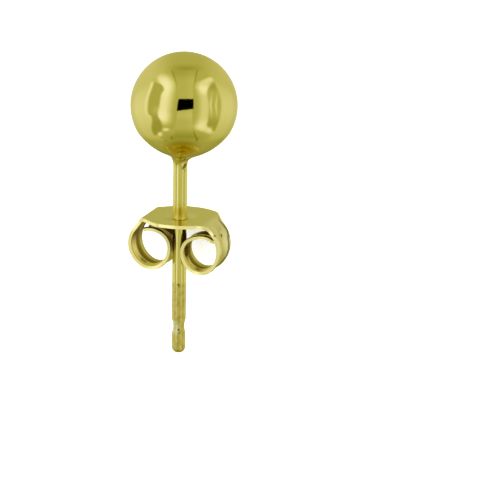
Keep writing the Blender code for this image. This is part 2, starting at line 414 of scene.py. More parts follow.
bowed = across_ball - STREAK_BOW * (up_ball.size() - 0.4)
streaks = (bowed.hump(0.53, 0.04) + bowed.hump(0.63, 0.035)) * up_ball.hump(-0.01, 0.30)
right_dark = RIGHT_DARK - RIGHT_LOW_SHADE * (0 - up_ball).rise(0.15, 0.36)
right_dark = right_dark - FOLD_SHADE * up_ball.rise(0.22, 0.34) + STREAK_LIGHT * streaks
level = level.toward(right_dark, fold(RIGHT_INNER, RIGHT_EDGE, SOFT))

for small_fold in SMALL_FOLDS:
    level = level * (1 - SMALL_SHADE * spot(*small_fold))
for corner in BRIGHT_CORNERS:
    level = level.toward(LIT, spot(*corner))
slot_bottom = (up_ball - 0.12 * across_ball).rise(-0.118, -0.098)
level = level * (1 - fold(SLOT_LEFT, SLOT_RIGHT, SLOT_SOFT) * slot_bottom)

# %% [markdown]
# Only mirrored rays see the painted cloth. Everything else is lit by its
# plain white mean, so that the pattern never falls on the table as light.
# Blue falls off faster than the grey level, as it does in gold's shadows.

# %% The tent's light
TENT_GREEN = 0.97
TENT_DEEPENS = 2.4
PLAIN_LIGHT = (1.24, 1.24, 1.23, 1)

channels = {"Red": level, "Green": TENT_GREEN * level, "Blue": level ** TENT_DEEPENS}
tent_colour = level.node("ShaderNodeCombineColor", None, channels)
rays = world.node_tree.nodes.new("ShaderNodeLightPath")
mirrored = Wire(rays.outputs["Is Glossy Ray"])
light = between(mirrored, PLAIN_LIGHT, tent_colour)
background = light.node("ShaderNodeBackground", None, {"Color": light})
light.node("ShaderNodeOutputWorld", None, {"Surface": background})
print("The tent has", len(world.node_tree.nodes), "nodes")

# %% [markdown]
# The table is a plain pale sheet. It is only there to catch the soft
# shadow, so the gold doesn't mirror it: a bright table would drown the
# tent in the ball's lower half.

# %% The table
TABLE_SIDE = 4.0
PAPER = (0.93, 0.93, 0.92, 1)
PAPER_ROUGHNESS = 0.9
PAPER_GLOW = 0.5
SOFTBOX_PLACE = (-0.10, 0.16, 0.42)
SOFTBOX_SIZE = 0.30
SOFTBOX_WATTS = 0.12

bpy.ops.object.select_all(action="DESELECT")
bpy.ops.mesh.primitive_plane_add(size=TABLE_SIDE)
table = bpy.context.object
table.name = "table"
table.visible_glossy = False
paper = bpy.data.materials.new("pale_paper")
paper.use_nodes = True
paper_shader = paper.node_tree.nodes["Principled BSDF"]
paper_shader.inputs["Base Color"].default_value = PAPER
paper_shader.inputs["Roughness"].default_value = PAPER_ROUGHNESS
paper_shader.inputs["Specular IOR Level"].default_value = 0
paper_shader.inputs["Emission Color"].default_value = (1, 1, 1, 1)
paper_shader.inputs["Emission Strength"].default_value = PAPER_GLOW
table.data.materials.append(paper)

bpy.ops.object.light_add(type="AREA", location=SOFTBOX_PLACE)
softbox = bpy.context.object
softbox.name = "softbox"
softbox.data.shape = "DISK"
softbox.data.size = SOFTBOX_SIZE
softbox.data.energy = SOFTBOX_WATTS
softbox.visible_glossy = False
softbox.rotation_euler = (-softbox.location).to_track_quat("-Z", "Y").to_euler()
bpy.context.scene.view_settings.view_transform = "Standard"
print("Table %.0f m across, softbox %.2f m above it" % (TABLE_SIDE, softbox.location.z))

# %% [markdown]
# Modelling by hand means selecting before each step. An operator acts on
# whatever is selected, so these helpers pick vertices by their place.

# %% Picking by place
NEAR = 0.001
SAME_POINT = 0.0001


def pick(wanted_here):
    """In edit mode, select the vertices whose place passes the test, and return how many."""
    bpy.ops.mesh.select_mode(type="VERT")
    bpy.ops.mesh.select_all(action="DESELECT")
    mesh = bmesh.from_edit_mesh(bpy.context.object.data)
    for vertex in mesh.verts:
        vertex.select = wanted_here(vertex.co)
    mesh.select_flush(True)
    bmesh.update_edit_mesh(bpy.context.object.data)
    return sum(vertex.select for vertex in mesh.verts)


def smoothstep(share):
    """Ease from 0 to 1 as the share goes from 0 to 1."""
    held = min(max(share, 0.0), 1.0)
    return held * held * (3 - 2 * held)


def start_piece(name):
    """Name the new primitive, put its place in its mesh and go into edit mode."""
    bpy.ops.object.transform_apply(location=True, rotation=True, scale=True)
    bpy.context.object.name = name
    bpy.context.object.data.name = name
    bpy.ops.object.mode_set(mode="EDIT")
    return bpy.context.object


def lay_down(piece):
    """Put a finished upright piece where the frame has it, with its place in its mesh."""
    piece.matrix_world = LAID_DOWN
    bpy.ops.object.select_all(action="DESELECT")
    piece.select_set(True)
    bpy.context.view_layer.objects.active = piece
    bpy.ops.object.transform_apply(location=True, rotation=True, scale=True)
    bpy.ops.object.shade_smooth()
    print(piece.name, "has", len(piece.data.polygons), "faces")


def apply_modifier(kind, **settings):
    """Add a modifier to the active object, set it up and apply it."""
    bpy.ops.object.modifier_add(type=kind)
    modifier = bpy.context.object.modifiers[-1]
    for name, value in settings.items():
        setattr(modifier, name, value)
    bpy.ops.object.modifier_apply(modifier=modifier.name)


# %% [markdown]
# The stud is one piece once it is soldered: a hollow ball pressed from
# sheet, a collar of solder that has run up to it, and a drawn wire. It
# could be a profile turned on a lathe, but the wire stands a little off
# the ball's middle. So it starts as a sphere, its underside is pulled in,
# the bottom is cut off, and the open rim is drawn out ring by ring.

# %% The ball
BALL_RADIUS = in_world(*BALL_CENTRE).z / MM  # It rests on the table
AROUND = 96
UP_AND_DOWN = 72
PULLED_IN_FROM = 0.50
PULLED_IN_TO = 0.90
PULLED_IN = 0.13
SOLDER_TOP = 3.68

bpy.ops.object.select_all(action="DESELECT")
bpy.ops.mesh.primitive_uv_sphere_add(
    segments=AROUND, ring_count=UP_AND_DOWN, radius=BALL_RADIUS, location=BALL_CENTRE
)
stud = start_piece("ball_and_post")
for ring in range(1, UP_AND_DOWN):
    polar = math.pi * ring / UP_AND_DOWN
    depth = -math.cos(polar)
    if depth > PULLED_IN_FROM:
        height = BALL_CENTRE[2] - BALL_RADIUS * depth
        pick(lambda place: abs(place.z - height) < NEAR)
        narrower = 1 - PULLED_IN * (min(depth, PULLED_IN_TO) - PULLED_IN_FROM) / math.sin(polar)
        bpy.ops.transform.resize(value=(narrower, narrower, 1), center_override=BALL_CENTRE)
bpy.ops.mesh.select_all(action="SELECT")
bpy.ops.mesh.bisect(
    plane_co=(0, 0, SOLDER_TOP), plane_no=(0, 0, 1), clear_inner=True, threshold=SAME_POINT
)
rim_count = pick(lambda place: place.z < SOLDER_TOP + NEAR)
rim_points = [v.co.x for v in bmesh.from_edit_mesh(stud.data).verts if v.select]
rim_radius = (max(rim_points) - min(rim_points)) / 2
print("Ball radius %.3f mm, its cut rim %.3f mm with %d points" % (BALL_RADIUS, rim_radius, rim_count))

# %% [markdown]
# Drawing out means extruding the open rim a little way down and scaling it
# to its new radius, again and again. The solder's hollow curve, the click
# groove and the round tip are only lists of radii to draw through.

# %% The solder and the post
POST_RADIUS = 0.40
FREE_POST = 2.95
TIP = -8.08
TIP_RADIUS = 0.39
TIP_ROUNDING = 0.35
CLICK_GROOVE = -6.48
CLICK_LENGTH = 0.86
CLICK_DEPTH = 0.080
SOLDER_CURVE = 2.75
SOLDER_SHIFT_SPAN = 0.67
SOLDER_STEPS = 20
POST_STEPS = 18
CLICK_STEPS = 16
TIP_STEPS = 10

rim = {"radius": rim_radius, "middle": BALL_CENTRE[0], "height": SOLDER_TOP}


def draw_out(radius, middle, height):
    """Extrude the selected rim to a new height, over a new middle, at a new radius."""
    step = (middle - rim["middle"], 0, height - rim["height"])
    bpy.ops.mesh.extrude_edges_move(TRANSFORM_OT_translate={"value": step})
    grown = radius / rim["radius"]
    bpy.ops.transform.resize(value=(grown, grown, 1), center_override=(middle, 0, height))
    rim.update(radius=radius, middle=middle, height=height)


for step in range(1, SOLDER_STEPS + 1):
    share = step / SOLDER_STEPS
    curve = (1 - share) ** SOLDER_CURVE
    middle = BALL_CENTRE[0] * (1 - smoothstep(share / SOLDER_SHIFT_SPAN))
    radius = POST_RADIUS + (rim_radius - POST_RADIUS) * curve
    draw_out(radius, middle, SOLDER_TOP + (FREE_POST - SOLDER_TOP) * share)
groove_top = CLICK_GROOVE + CLICK_LENGTH / 2
for step in range(1, POST_STEPS + 1):
    draw_out(POST_RADIUS, 0, FREE_POST + (groove_top - FREE_POST) * step / POST_STEPS)
for step in range(1, CLICK_STEPS + 1):
    share = step / CLICK_STEPS
    body = POST_RADIUS + (TIP_RADIUS - POST_RADIUS) * share
    draw_out(body - CLICK_DEPTH * math.sin(math.pi * share), 0, groove_top - CLICK_LENGTH * share)
for step in range(TIP_STEPS + 1):
    turn = math.pi / 2 * step / TIP_STEPS
    draw_out(TIP_RADIUS - TIP_ROUNDING * (1 - math.cos(turn)), 0, TIP + TIP_ROUNDING * (1 - math.sin(turn)))
draw_out(rim["radius"] / 2, 0, TIP)
bpy.ops.mesh.extrude_edges_move()
bpy.ops.mesh.merge(type="COLLAPSE")
bpy.ops.mesh.select_all(action="SELECT")
bpy.ops.mesh.normals_make_consistent(inside=False)
bpy.ops.object.mode_set(mode="OBJECT")
apply_modifier("SUBSURF", levels=1, render_levels=1)
lay_down(stud)

# %% [markdown]
# The butterfly back is one stamped strip: an oval plate in the middle, and
# two tongues that are rolled under it until they grip the post. It is made
# here the same way. A flat grid is the blank, each end is spun round one
# bend after another, and the rows are narrowed as the tongue tapers.

# %% The blank of the back
THICKNESS = 0.18
PLATE_LEFT = -1.730
PLATE_RIGHT = 1.542
PLATE_WIDTH = 4.186
BLANK_ROWS = 34
BLANK_COLUMNS = 32
EASED_SHARE = 0.05

# Half width of the plate on the way out to each fold, as shares
LEFT_OUTLINE = (
    (0, 1), (0.16, 1), (0.32, 0.995), (0.47, 0.945), (0.62, 0.87), (0.78, 0.76), (0.90, 0.67), (1, 0.65)
)
RIGHT_OUTLINE = ((0, 1), (0.18, 1), (0.36, 0.99), (0.55, 0.955), (0.75, 0.90), (0.90, 0.84), (1, 0.78))


def table_value(table, place):
    """Read a two-column table between its rows, easing over its corners."""
    def straight(at):
        at = min(max(at, table[0][0]), table[-1][0])
        for (low, first), (high, second) in zip(table, table[1:]):
            if at <= high:
                return first + (second - first) * (at - low) / (high - low)
        return table[-1][1]

    span = EASED_SHARE * (table[-1][0] - table[0][0])
    return sum(straight(place + shift * span) for shift in (-1, -0.5, 0, 0.5, 1)) / 5


bpy.ops.object.select_all(action="DESELECT")
bpy.ops.mesh.primitive_grid_add(
    x_subdivisions=BLANK_ROWS, y_subdivisions=BLANK_COLUMNS, size=1, location=(0, 0, -THICKNESS / 2)
)
back = start_piece("butterfly_strip")
bpy.ops.transform.resize(value=(PLATE_RIGHT - PLATE_LEFT, PLATE_WIDTH, 1), center_override=(0, 0, 0))
bpy.ops.transform.translate(value=((PLATE_RIGHT + PLATE_LEFT) / 2, 0, 0))
rows = sorted({round(v.co.x, 4) for v in bmesh.from_edit_mesh(back.data).verts})
print("The blank has", len(rows), "rows")

# %% [markdown]
# The hole for the post is punched from the ball side, which leaves a
# shallow dish round it. The grid's middle is cut out, the gap's edge is
# extruded and made round with To Sphere, and that rim is drawn in and down.
# Only then is the blank cut to its oval outline, so that the ring is even.

# %% The dished hole
DISH_RADIUS = 1.15
HOLE_RADIUS = 0.45
DISH_DEPTH = 0.16
DISH_STEPS = 9
DISH_MARGIN = 0.02
GAP = 1.36


def inside_middle(place):
    return max(abs(place.x), abs(place.y)) < GAP


bpy.ops.mesh.select_mode(type="FACE")
bpy.ops.mesh.select_all(action="DESELECT")
mesh = bmesh.from_edit_mesh(back.data)
for face in mesh.faces:
    face.select = all(inside_middle(vertex.co) for vertex in face.verts)
bmesh.update_edit_mesh(back.data)
bpy.ops.mesh.delete(type="FACE")
bpy.ops.mesh.select_mode(type="VERT")
mesh = bmesh.from_edit_mesh(back.data)
gap = [vertex for vertex in mesh.verts if vertex.is_boundary and inside_middle(vertex.co)]
gap_reach = sum(vertex.co.xy.length for vertex in gap) / len(gap)
print("The gap has", len(gap), "points, %.2f mm from the middle on average" % gap_reach)
bpy.ops.mesh.select_all(action="DESELECT")
for vertex in gap:
    vertex.select = True
mesh.select_flush(True)
bmesh.update_edit_mesh(back.data)
bpy.ops.mesh.extrude_edges_move()
bpy.ops.transform.tosphere(value=1)
mesh = bmesh.from_edit_mesh(back.data)
round_reach = [vertex.co.xy.length for vertex in mesh.verts if vertex.select]
print("Rounded to between %.3f and %.3f mm" % (min(round_reach), max(round_reach)))
rim.update(radius=sum(round_reach) / len(round_reach), middle=0, height=-THICKNESS / 2)
smaller = DISH_RADIUS / rim["radius"]
bpy.ops.transform.resize(value=(smaller, smaller, 1), center_override=(0, 0, 0))
rim.update(radius=DISH_RADIUS)
for step in range(1, DISH_STEPS + 1):
    share = step / DISH_STEPS
    radius = DISH_RADIUS + (HOLE_RADIUS - DISH_RADIUS) * share
    draw_out(radius, 0, -THICKNESS / 2 - DISH_DEPTH * smoothstep(share))

# Cut the blank to its outline, row by row, and leave the dish round
def outline_at(place):
    """Half width of the plate there, as a share of its widest."""
    if place > 0:
        return table_value(RIGHT_OUTLINE, place / PLATE_RIGHT)
    return table_value(LEFT_OUTLINE, place / PLATE_LEFT)


for row in rows:
    pick(lambda place: abs(place.x - row) < NEAR and place.xy.length > DISH_RADIUS + DISH_MARGIN)
    bpy.ops.transform.resize(value=(1, outline_at(row), 1), center_override=(0, 0, 0))

# %% [markdown]
# Each tongue is a walk away from the plate: so many degrees on such a
# radius, then the next bend. A bend of 0 degrees is a straight stretch that
# long. Spinning the end row round the bend's centre is what the bending
# pliers do. The last bend of the right tongue goes the other way, because
# its end springs open. The strip's width follows how far it is turned.

# %% Rolling the two tongues
DEGREES_A_ROW = 5
STRAIGHT_ROWS = 8
STRIP_WIDTH = 2.30
LEFT_TONGUE = (
    (54, 0.25), (0, 0.780), (41, 1.450), (55, 1.392), (60, 0.945), (60, 1.291), (60, 0.917), (52, 1.232)
)
RIGHT_TONGUE = (
    (37, 0.62), (0, 0.012), (53, 1.739), (60, 1.480), (60, 0.888), (60, 1.161),
    (60, 0.80), (30, 1.60), (30, 1.00), (-44, 0.40),
)
LEFT_NARROWING = ((0, 0.82), (60, 0.82), (180, 0.63), (270, 0.64), (400, 0.61))
RIGHT_NARROWING = ((0, 0.87), (60, 0.87), (120, 0.79), (180, 0.63), (250, 0.63), (310, 0.56), (400, 0.53))
LEFT_NECK = 0.35
RIGHT_NECK = 0.65

stations = []


def tongue_half_width(side, turned, travelled):
    """From the plate's width through the neck to the strip's, which narrows as it is rolled."""
    neck, narrowing = (LEFT_NECK, LEFT_NARROWING) if side < 0 else (RIGHT_NECK, RIGHT_NARROWING)
    plate_end = PLATE_WIDTH / 2 * outline_at(side * abs(PLATE_LEFT))
    strip = STRIP_WIDTH / 2 * table_value(narrowing, turned)
    return plate_end + (strip - plate_end) * smoothstep(travelled / neck)


def roll(side, start_x, bends):
    """Roll one tongue from the plate's end, outwards to that side."""
    out, height, turned, travelled = abs(start_x), -THICKNESS / 2, 0.0, 0.0
    width = PLATE_WIDTH / 2 * outline_at(start_x)
    pick(lambda place: abs(place.x - start_x) < NEAR)
    for degrees, size in bends:
        steps = max(1, math.ceil(abs(degrees) / DEGREES_A_ROW)) if degrees else STRAIGHT_ROWS
        turn = math.radians(degrees / steps)
        inward = math.copysign(size, degrees)
        for _ in range(steps):
            heading = math.radians(turned)
            if degrees:
                centre = (out - inward * math.sin(heading), height - inward * math.cos(heading))
                bpy.ops.mesh.spin(
                    steps=1, angle=-side * turn, center=(side * centre[0], 0, centre[1]), axis=(0, 1, 0)
                )
                turned += degrees / steps
                heading = math.radians(turned)
                out = centre[0] + inward * math.sin(heading)
                height = centre[1] + inward * math.cos(heading)
                travelled += size * abs(turn)
            else:
                move = size / steps
                step = (side * move * math.cos(heading), 0, -move * math.sin(heading))
                bpy.ops.mesh.extrude_edges_move(TRANSFORM_OT_translate={"value": step})
                out += move * math.cos(heading)
                height -= move * math.sin(heading)
                travelled += move
            new_width = tongue_half_width(side, turned, travelled)
            bpy.ops.transform.resize(value=(1, new_width / width, 1), center_override=(0, 0, 0))
            width = new_width
            stations.append({"side": side, "out": out, "height": height, "turned": turned, "half": width})
    end = [v.co.copy() for v in bmesh.from_edit_mesh(back.data).verts if v.select]
    print("Tongue's end at x %.3f z %.3f, meant x %.3f z %.3f" % (end[0].x, end[0].z, side * out, height))


roll(-1, PLATE_LEFT, LEFT_TONGUE)
roll(1, PLATE_RIGHT, RIGHT_TONGUE)
bpy.ops.mesh.select_all(action="SELECT")
bpy.ops.mesh.remove_doubles(threshold=SAME_POINT)
bpy.ops.mesh.normals_make_consistent(inside=False)
mesh = bmesh.from_edit_mesh(back.data)
plate_face = min(mesh.faces, key=lambda face: (face.calc_center_median() - Vector((0, 1.5, 0))).length)
if plate_face.normal.z < 0:
    bpy.ops.mesh.flip_normals()
bpy.ops.object.mode_set(mode="OBJECT")
print("Rolled strip:", len(back.data.polygons), "faces,", len(stations), "rows in the tongues")

# %% [markdown]
# Two ribs are pressed along each tongue to stiffen it, with a hollow
# between them, and the walls that grip the post have a shallow furrow
# where it slides. All are weights painted on the strip, which Displace
# modifiers then push out or in. Two more weights say how far across the
# strip a point is and how far it is rolled, for the finish to follow.

# %% Ribs and furrows
RIB_HEIGHT = 0.055
VALLEY_DEPTH = 0.05
RIB_PLACE = 0.80
RIB_EDGE = 0.30
RIB_STARTS = 48
RIB_FULL = 66
CLEAR_RADIUS = 0.45
FURROW_BLEND = 0.06
FURROW_MOST = 0.35
MOST_TURNED = 450
RUBBED_EDGE = 0.045


def ribbed(share):
    """How far the section stands out, from 1 on the ribs to -1 between them."""
    place = abs(share)
    if place < RIB_PLACE:
        return -math.cos(math.pi * place / RIB_PLACE)
    return 1 - (1 - RIB_EDGE) * smoothstep((place - RIB_PLACE) / (1 - RIB_PLACE))


tree = KDTree(len(stations))
for index, station in enumerate(stations):
    tree.insert((station["side"] * station["out"], 0, station["height"]), index)
tree.balance()
names = ("ribs", "valley", "left_furrow", "right_furrow", "width", "turned")
weights = {name: {} for name in names}
for vertex in back.data.vertices:
    _, index, distance = tree.find((vertex.co.x, 0, vertex.co.z))
    station = stations[index]
    if distance > NEAR:
        half = PLATE_WIDTH / 2 * outline_at(vertex.co.x)
        weights["width"][vertex.index] = (vertex.co.y / half + 1) / 2
        continue
    share = vertex.co.y / station["half"]
    grown = smoothstep((station["turned"] - RIB_STARTS) / (RIB_FULL - RIB_STARTS))
    lift = grown * ribbed(share)
    weights["ribs"][vertex.index] = max(lift, 0)
    weights["valley"][vertex.index] = max(-lift, 0)
    weights["width"][vertex.index] = (share + 1) / 2
    weights["turned"][vertex.index] = min(station["turned"] / MOST_TURNED, 1)
    if station["turned"] > 180:
        sine = math.sin(math.radians(station["turned"]))
        stands_out = max(lift, 0) * RIB_HEIGHT + min(lift, 0) * VALLEY_DEPTH
        surface = station["out"] + (stands_out + THICKNESS / 2) * sine
        lead = surface - math.sqrt(max(0, CLEAR_RADIUS**2 - vertex.co.y**2))
        push = (math.sqrt(lead**2 + FURROW_BLEND**2) - lead) / 2
        furrow = "left_furrow" if station["side"] < 0 else "right_furrow"
        weights[furrow][vertex.index] = min(1, push / FURROW_MOST)
for name, painted in weights.items():
    group = back.vertex_groups.new(name=name)
    for index, weight in painted.items():
        group.add([index], weight, "REPLACE")
    print(name, "painted on", len(painted), "points, at most %.2f" % max(painted.values()))
for name in ("inner", "rim"):
    back.vertex_groups.new(name=name)

apply_modifier("DISPLACE", vertex_group="ribs", direction="NORMAL", mid_level=0, strength=RIB_HEIGHT)
apply_modifier("DISPLACE", vertex_group="valley", direction="NORMAL", mid_level=0, strength=-VALLEY_DEPTH)
apply_modifier("DISPLACE", vertex_group="left_furrow", direction="X", mid_level=0, strength=-FURROW_MOST)
apply_modifier("DISPLACE", vertex_group="right_furrow", direction="X", mid_level=0, strength=FURROW_MOST)
apply_modifier(
    "SOLIDIFY", thickness=THICKNESS, offset=0, use_even_offset=True,
    shell_vertex_group="inner", rim_vertex_group="rim",
)
apply_modifier("BEVEL", width=RUBBED_EDGE, segments=2, limit_method="ANGLE", angle_limit=math.radians(50))
apply_modifier("SUBSURF", levels=1, render_levels=1)

# The finish can't read vertex groups, so they become attributes
for name in ("inner", "rim", "width", "turned"):
    group = back.vertex_groups[name].index
    values = [0.0] * len(back.data.vertices)
    for vertex in back.data.vertices:
        for painted in vertex.groups:
            if painted.group == group:
                values[vertex.index] = painted.weight
    attribute = back.data.attributes.new(name + "_share", "FLOAT", "POINT")
    attribute.data.foreach_set("value", values)
    print(attribute.name, "goes from %.2f to %.2f" % (min(values), max(values)))
back.vertex_groups.clear()
lay_down(back)

# %% [markdown]
# Both pieces are the same yellow gold. The colour is set so that the
# brightest cloth of the tent gives the photograph's pale yellow. What sets
# them apart is the polish: the ball is buffed, the post shows the lines of
# its drawing plate, and the back is only tumbled. Stains, painted shade and
# painted reflections are found by their place in the earring's own frame,
# in millimetres, so they stay where they are when it is laid down, slid or
# seen from behind.

# %% Gold
GOLD = (0.90, 0.83, 0.36, 1)
RELIEF_DEPTH = 0.03


def new_gold(name):
    """A metal whose shader is returned with a wire of places in the earring's own frame, in mm."""
    material = bpy.data.materials.new(name)
    material.use_nodes = True
    tree = material.node_tree
    shader = tree.nodes["Principled BSDF"]
    shader.inputs["Metallic"].default_value = 1
    coordinates = Wire(tree.nodes.new("ShaderNodeTexCoord").outputs["Object"])
    upright_again = (axes.transposed().to_4x4() @ Matrix.Translation(-origin)).decompose()
    mapping = {
        "Vector": coordinates,
        "Location": tuple(component / MM for component in upright_again[0]),
        "Rotation": upright_again[1].to_euler(),
        "Scale": (1 / MM, 1 / MM, 1 / MM),
    }
    places = coordinates.node("ShaderNodeMapping", {"vector_type": "POINT"}, mapping)
    return material, shader, places


def feed(shader, socket, wire):
    """Let a wire drive one socket of the shader."""
    shader.id_data.links.new(wire.socket, shader.inputs[socket])


def parts_of(vector):
    """The three parts of a vector, as wires."""
    split = vector.node("ShaderNodeSeparateXYZ", None, {"Vector": vector}).socket.node
    return [Wire(split.outputs[name]) for name in ("X", "Y", "Z")]


def noise(places, scale, detail=2, stretch=(1, 1, 1)):
    """Clouds round 0.5, finer with the scale, and drawn out along an axis where the stretch is small."""
    stretched = places.node("ShaderNodeVectorMath", {"operation": "MULTIPLY"}, {0: places, 1: stretch})
    return places.node("ShaderNodeTexNoise", None, {"Vector": stretched, "Scale": scale, "Detail": detail})


def mark(places, middle, reach):
    """1 in the middle of a small round mark, easing to 0 at its reach."""
    distance = places.node(
        "ShaderNodeVectorMath", {"operation": "DISTANCE"}, {0: places, 1: middle}, output=1
    )
    return 1 - (distance * distance).rise(0, reach * reach)


def marks(places, listed):
    """Several marks together, each with its middle, its reach and its strength."""
    return sum(strength * mark(places, middle, reach) for middle, reach, strength in listed)


def raise_surface(shader, relief, strength):
    """Bump the surface by a wire of heights."""
    heights = {"Height": relief, "Strength": strength, "Distance": RELIEF_DEPTH * MM}
    feed(shader, "Normal", relief.node("ShaderNodeBump", None, heights))


# %% [markdown]
# Soldering leaves olive clouds on the collar. The amber ring where the solder
# meets the ball, the amber patch on the ball's front underside and a dark
# amber mark at the post's foot are painted reflections of the back and post.
# The warmer yellow where the post enters the plate is a painted reflection
# of the plate.

# %% The stud's painted reflections and solder clouds
AMBER = (0.64, 0.47, 0.003, 1)
REFLECTED_GOLD = (0.86, 0.72, 0.14, 1)
NECK_OLIVE = (0.60, 0.50, 0.05, 1)
RING_BOTTOM = (3.70, 3.95)
RING_TOP = (3.90, 4.35)
RING_SHARE = 0.8
RING_WAVES = 0.30
FRONT_PATCH = ((0.80, -1.95, 4.30), 1.25)
FOOT_PATCH = ((0.17, -0.36, 0.33), 0.32)
FOOT_SHARE = 0.9
BY_THE_PLATE = (0.30, 0.85)
COLLAR = (3.30, 0.55)
COLLAR_CLOUDS = (0.36, 0.60)
COLLAR_SHARE = 0.75

polished, shader, places = new_gold("polished_gold")
x, y, z = parts_of(places)
mottle = noise(places, 1.1, 3)
# Painted reflection of the back and post, in amber: a ring at the ball's neck, a patch on its front
# underside and a mark at the post's foot.
ring = RING_SHARE * (z + RING_WAVES * mottle).rise(*RING_BOTTOM) * (1 - z.rise(*RING_TOP))
front_patch = mark(places, *FRONT_PATCH) * (0.8 + 0.6 * mottle)
amber_reflection = ring.maths("MAXIMUM", ring, front_patch) + FOOT_SHARE * mark(places, *FOOT_PATCH)
# Painted reflection of the plate, warm yellow, on the post where it enters the plate.
by_the_plate = z.hump(*BY_THE_PLATE) * (0.5 + 0.5 * mottle)
collar = z.hump(*COLLAR) * noise(places, 3.0, 4).rise(*COLLAR_CLOUDS)
colour = between(amber_reflection, GOLD, AMBER)
colour = between(by_the_plate, colour, REFLECTED_GOLD)
colour = between(COLLAR_SHARE * collar, colour, NECK_OLIVE)

# %% [markdown]
# Below the back the post is duller and blotched from use, with a pale worn
# patch on the left half of the click groove. Two brown flaws by the solder
# and on the lower post, and one dark dot, are pits in the wire.

# %% The stud's wear and pits
DULL_GOLD = (0.76, 0.67, 0.26, 1)
DULL_BROWN = (0.60, 0.46, 0.12, 1)
WORN_GREY = (0.60, 0.61, 0.38, 1)
BROWN_SPOT = (0.13, 0.085, 0.003, 1)
PIT = (0.03, 0.03, 0.01, 1)
DULL_TOP = (-4.05, -3.75)
BLOTCHES = (0.46, 0.62)
BLOTCH_SHARE = 0.6
PATCH_BOTTOM = (-6.98, -6.76)
PATCH_TOP = (-6.18, -6.04)
PATCH_SIDE = (-0.14, 0.10)
PATCH_FACES = (0.936, 0.352)
PATCH_BREAKS = (0.30, 0.62)
LESS_METAL = 0.55
BROWN_FLAWS = (
    ((0.11, -0.38, -3.95), 0.09, 0.75),
    ((0.14, -0.37, -4.05), 0.07, 0.5),
    ((0.385, -0.12, 3.08), 0.12, 0.7),
    ((0.345, -0.21, 2.97), 0.16, 0.8),
    ((0.27, -0.30, 2.86), 0.11, 0.6),
    ((0.36, -0.17, 2.72), 0.12, 0.3),
)
DARK_DOT = ((0.10, -0.32, -6.63), 0.075)

lower = 1 - z.rise(*DULL_TOP)
blotches = noise(places, 5.0, 4, (1, 1, 0.6)).rise(*BLOTCHES)
colour = between(lower * (0.45 + 0.5 * mottle), colour, DULL_GOLD)
colour = between(BLOTCH_SHARE * lower * blotches, colour, DULL_BROWN)
patch_height = z.rise(*PATCH_BOTTOM) * (1 - z.rise(*PATCH_TOP))
patch_side = 1 - (PATCH_FACES[0] * x + PATCH_FACES[1] * y).rise(*PATCH_SIDE)
worn = patch_height * patch_side * noise(places, 4.0, 3).rise(*PATCH_BREAKS)
colour = between(worn, colour, WORN_GREY)
colour = between(marks(places, BROWN_FLAWS), colour, BROWN_SPOT)
colour = between(mark(places, *DARK_DOT), colour, PIT)
feed(shader, "Base Color", colour)
feed(shader, "Metallic", 1 - LESS_METAL * worn)

# %% [markdown]
# The polish goes from a mirror on the ball, through faint drawn lines on
# the post, to the duller lower end. The same clouds that tint the metal
# raise its surface a little, because both come from the same handling.

# %% The stud's polish
BALL_ROUGHNESS = 0.035
POST_ROUGHNESS = 0.12
LOWER_ROUGHNESS = 0.24
AMBER_ROUGHNESS = 0.05
BY_PLATE_ROUGHNESS = 0.16
POST_TOP = (2.9, 3.3)
BALL_BUMPS = 0.25

fine = noise(places, 9.0, 2)
drawn_lines = noise(places, 7.0, 3, (1, 1, 0.05))
on_post = 1 - z.rise(*POST_TOP)
roughness = BALL_ROUGHNESS + 0.04 * mottle
roughness = roughness.toward(POST_ROUGHNESS + 0.10 * drawn_lines, on_post)
roughness = roughness.toward(LOWER_ROUGHNESS + 0.10 * mottle, lower)
feed(shader, "Roughness", roughness + AMBER_ROUGHNESS * amber_reflection + BY_PLATE_ROUGHNESS * by_the_plate)
relief = 0.5 * mottle + 0.04 * fine
relief = relief.toward(0.6 * drawn_lines + 0.15 * mottle, on_post)
raise_surface(shader, relief, BALL_BUMPS)
stud.data.materials.append(polished)
print("Polished gold has", len(polished.node_tree.nodes), "nodes")

# %% [markdown]
# The back is tumbled with steel shot, not buffed. It is satin on its broad
# faces and duller inside the rolls, where the shot doesn't reach. Inside the
# rolls the colour is painted light and shade: a warm tan painted reflection,
# painted shade in the hollow between the ribs and by the near rim, and a
# grey-olive painted reflection where the far rib catches some light. The
# attributes painted on the strip say where all that is.

# %% The back's faces
PLATE_GOLD = (0.93, 0.91, 0.76, 1)
INNER_GOLD = (1.0, 0.84, 0.34, 1)
HOLLOW_SHADE = (0.19, 0.14, 0.001, 1)
FAR_GOLD = (0.66, 0.61, 0.24, 1)
GRAZING_GOLD = (1.0, 0.93, 0.66, 1)
PLATE_CLOUDS = 0.6
INNER_SHARE = 0.9
RIM_EASE = (0.2, 0.9)
HOLE_RIM = (0.45, 0.70)
HOLE_RIM_SHARE = 0.4
LINED_FROM = (20, 60)
NEAR_GROOVE = (0.085, 0.05)
HOLLOW_NEAR = (0.32, 0.44)
HOLLOW_FAR = (0.72, 0.84)
FAR_RIB = (0.80, 0.90)


def painted(name):
    """A weight painted on the strip."""
    return places.node("ShaderNodeAttribute", {"attribute_name": name + "_share"}, None, output=2)


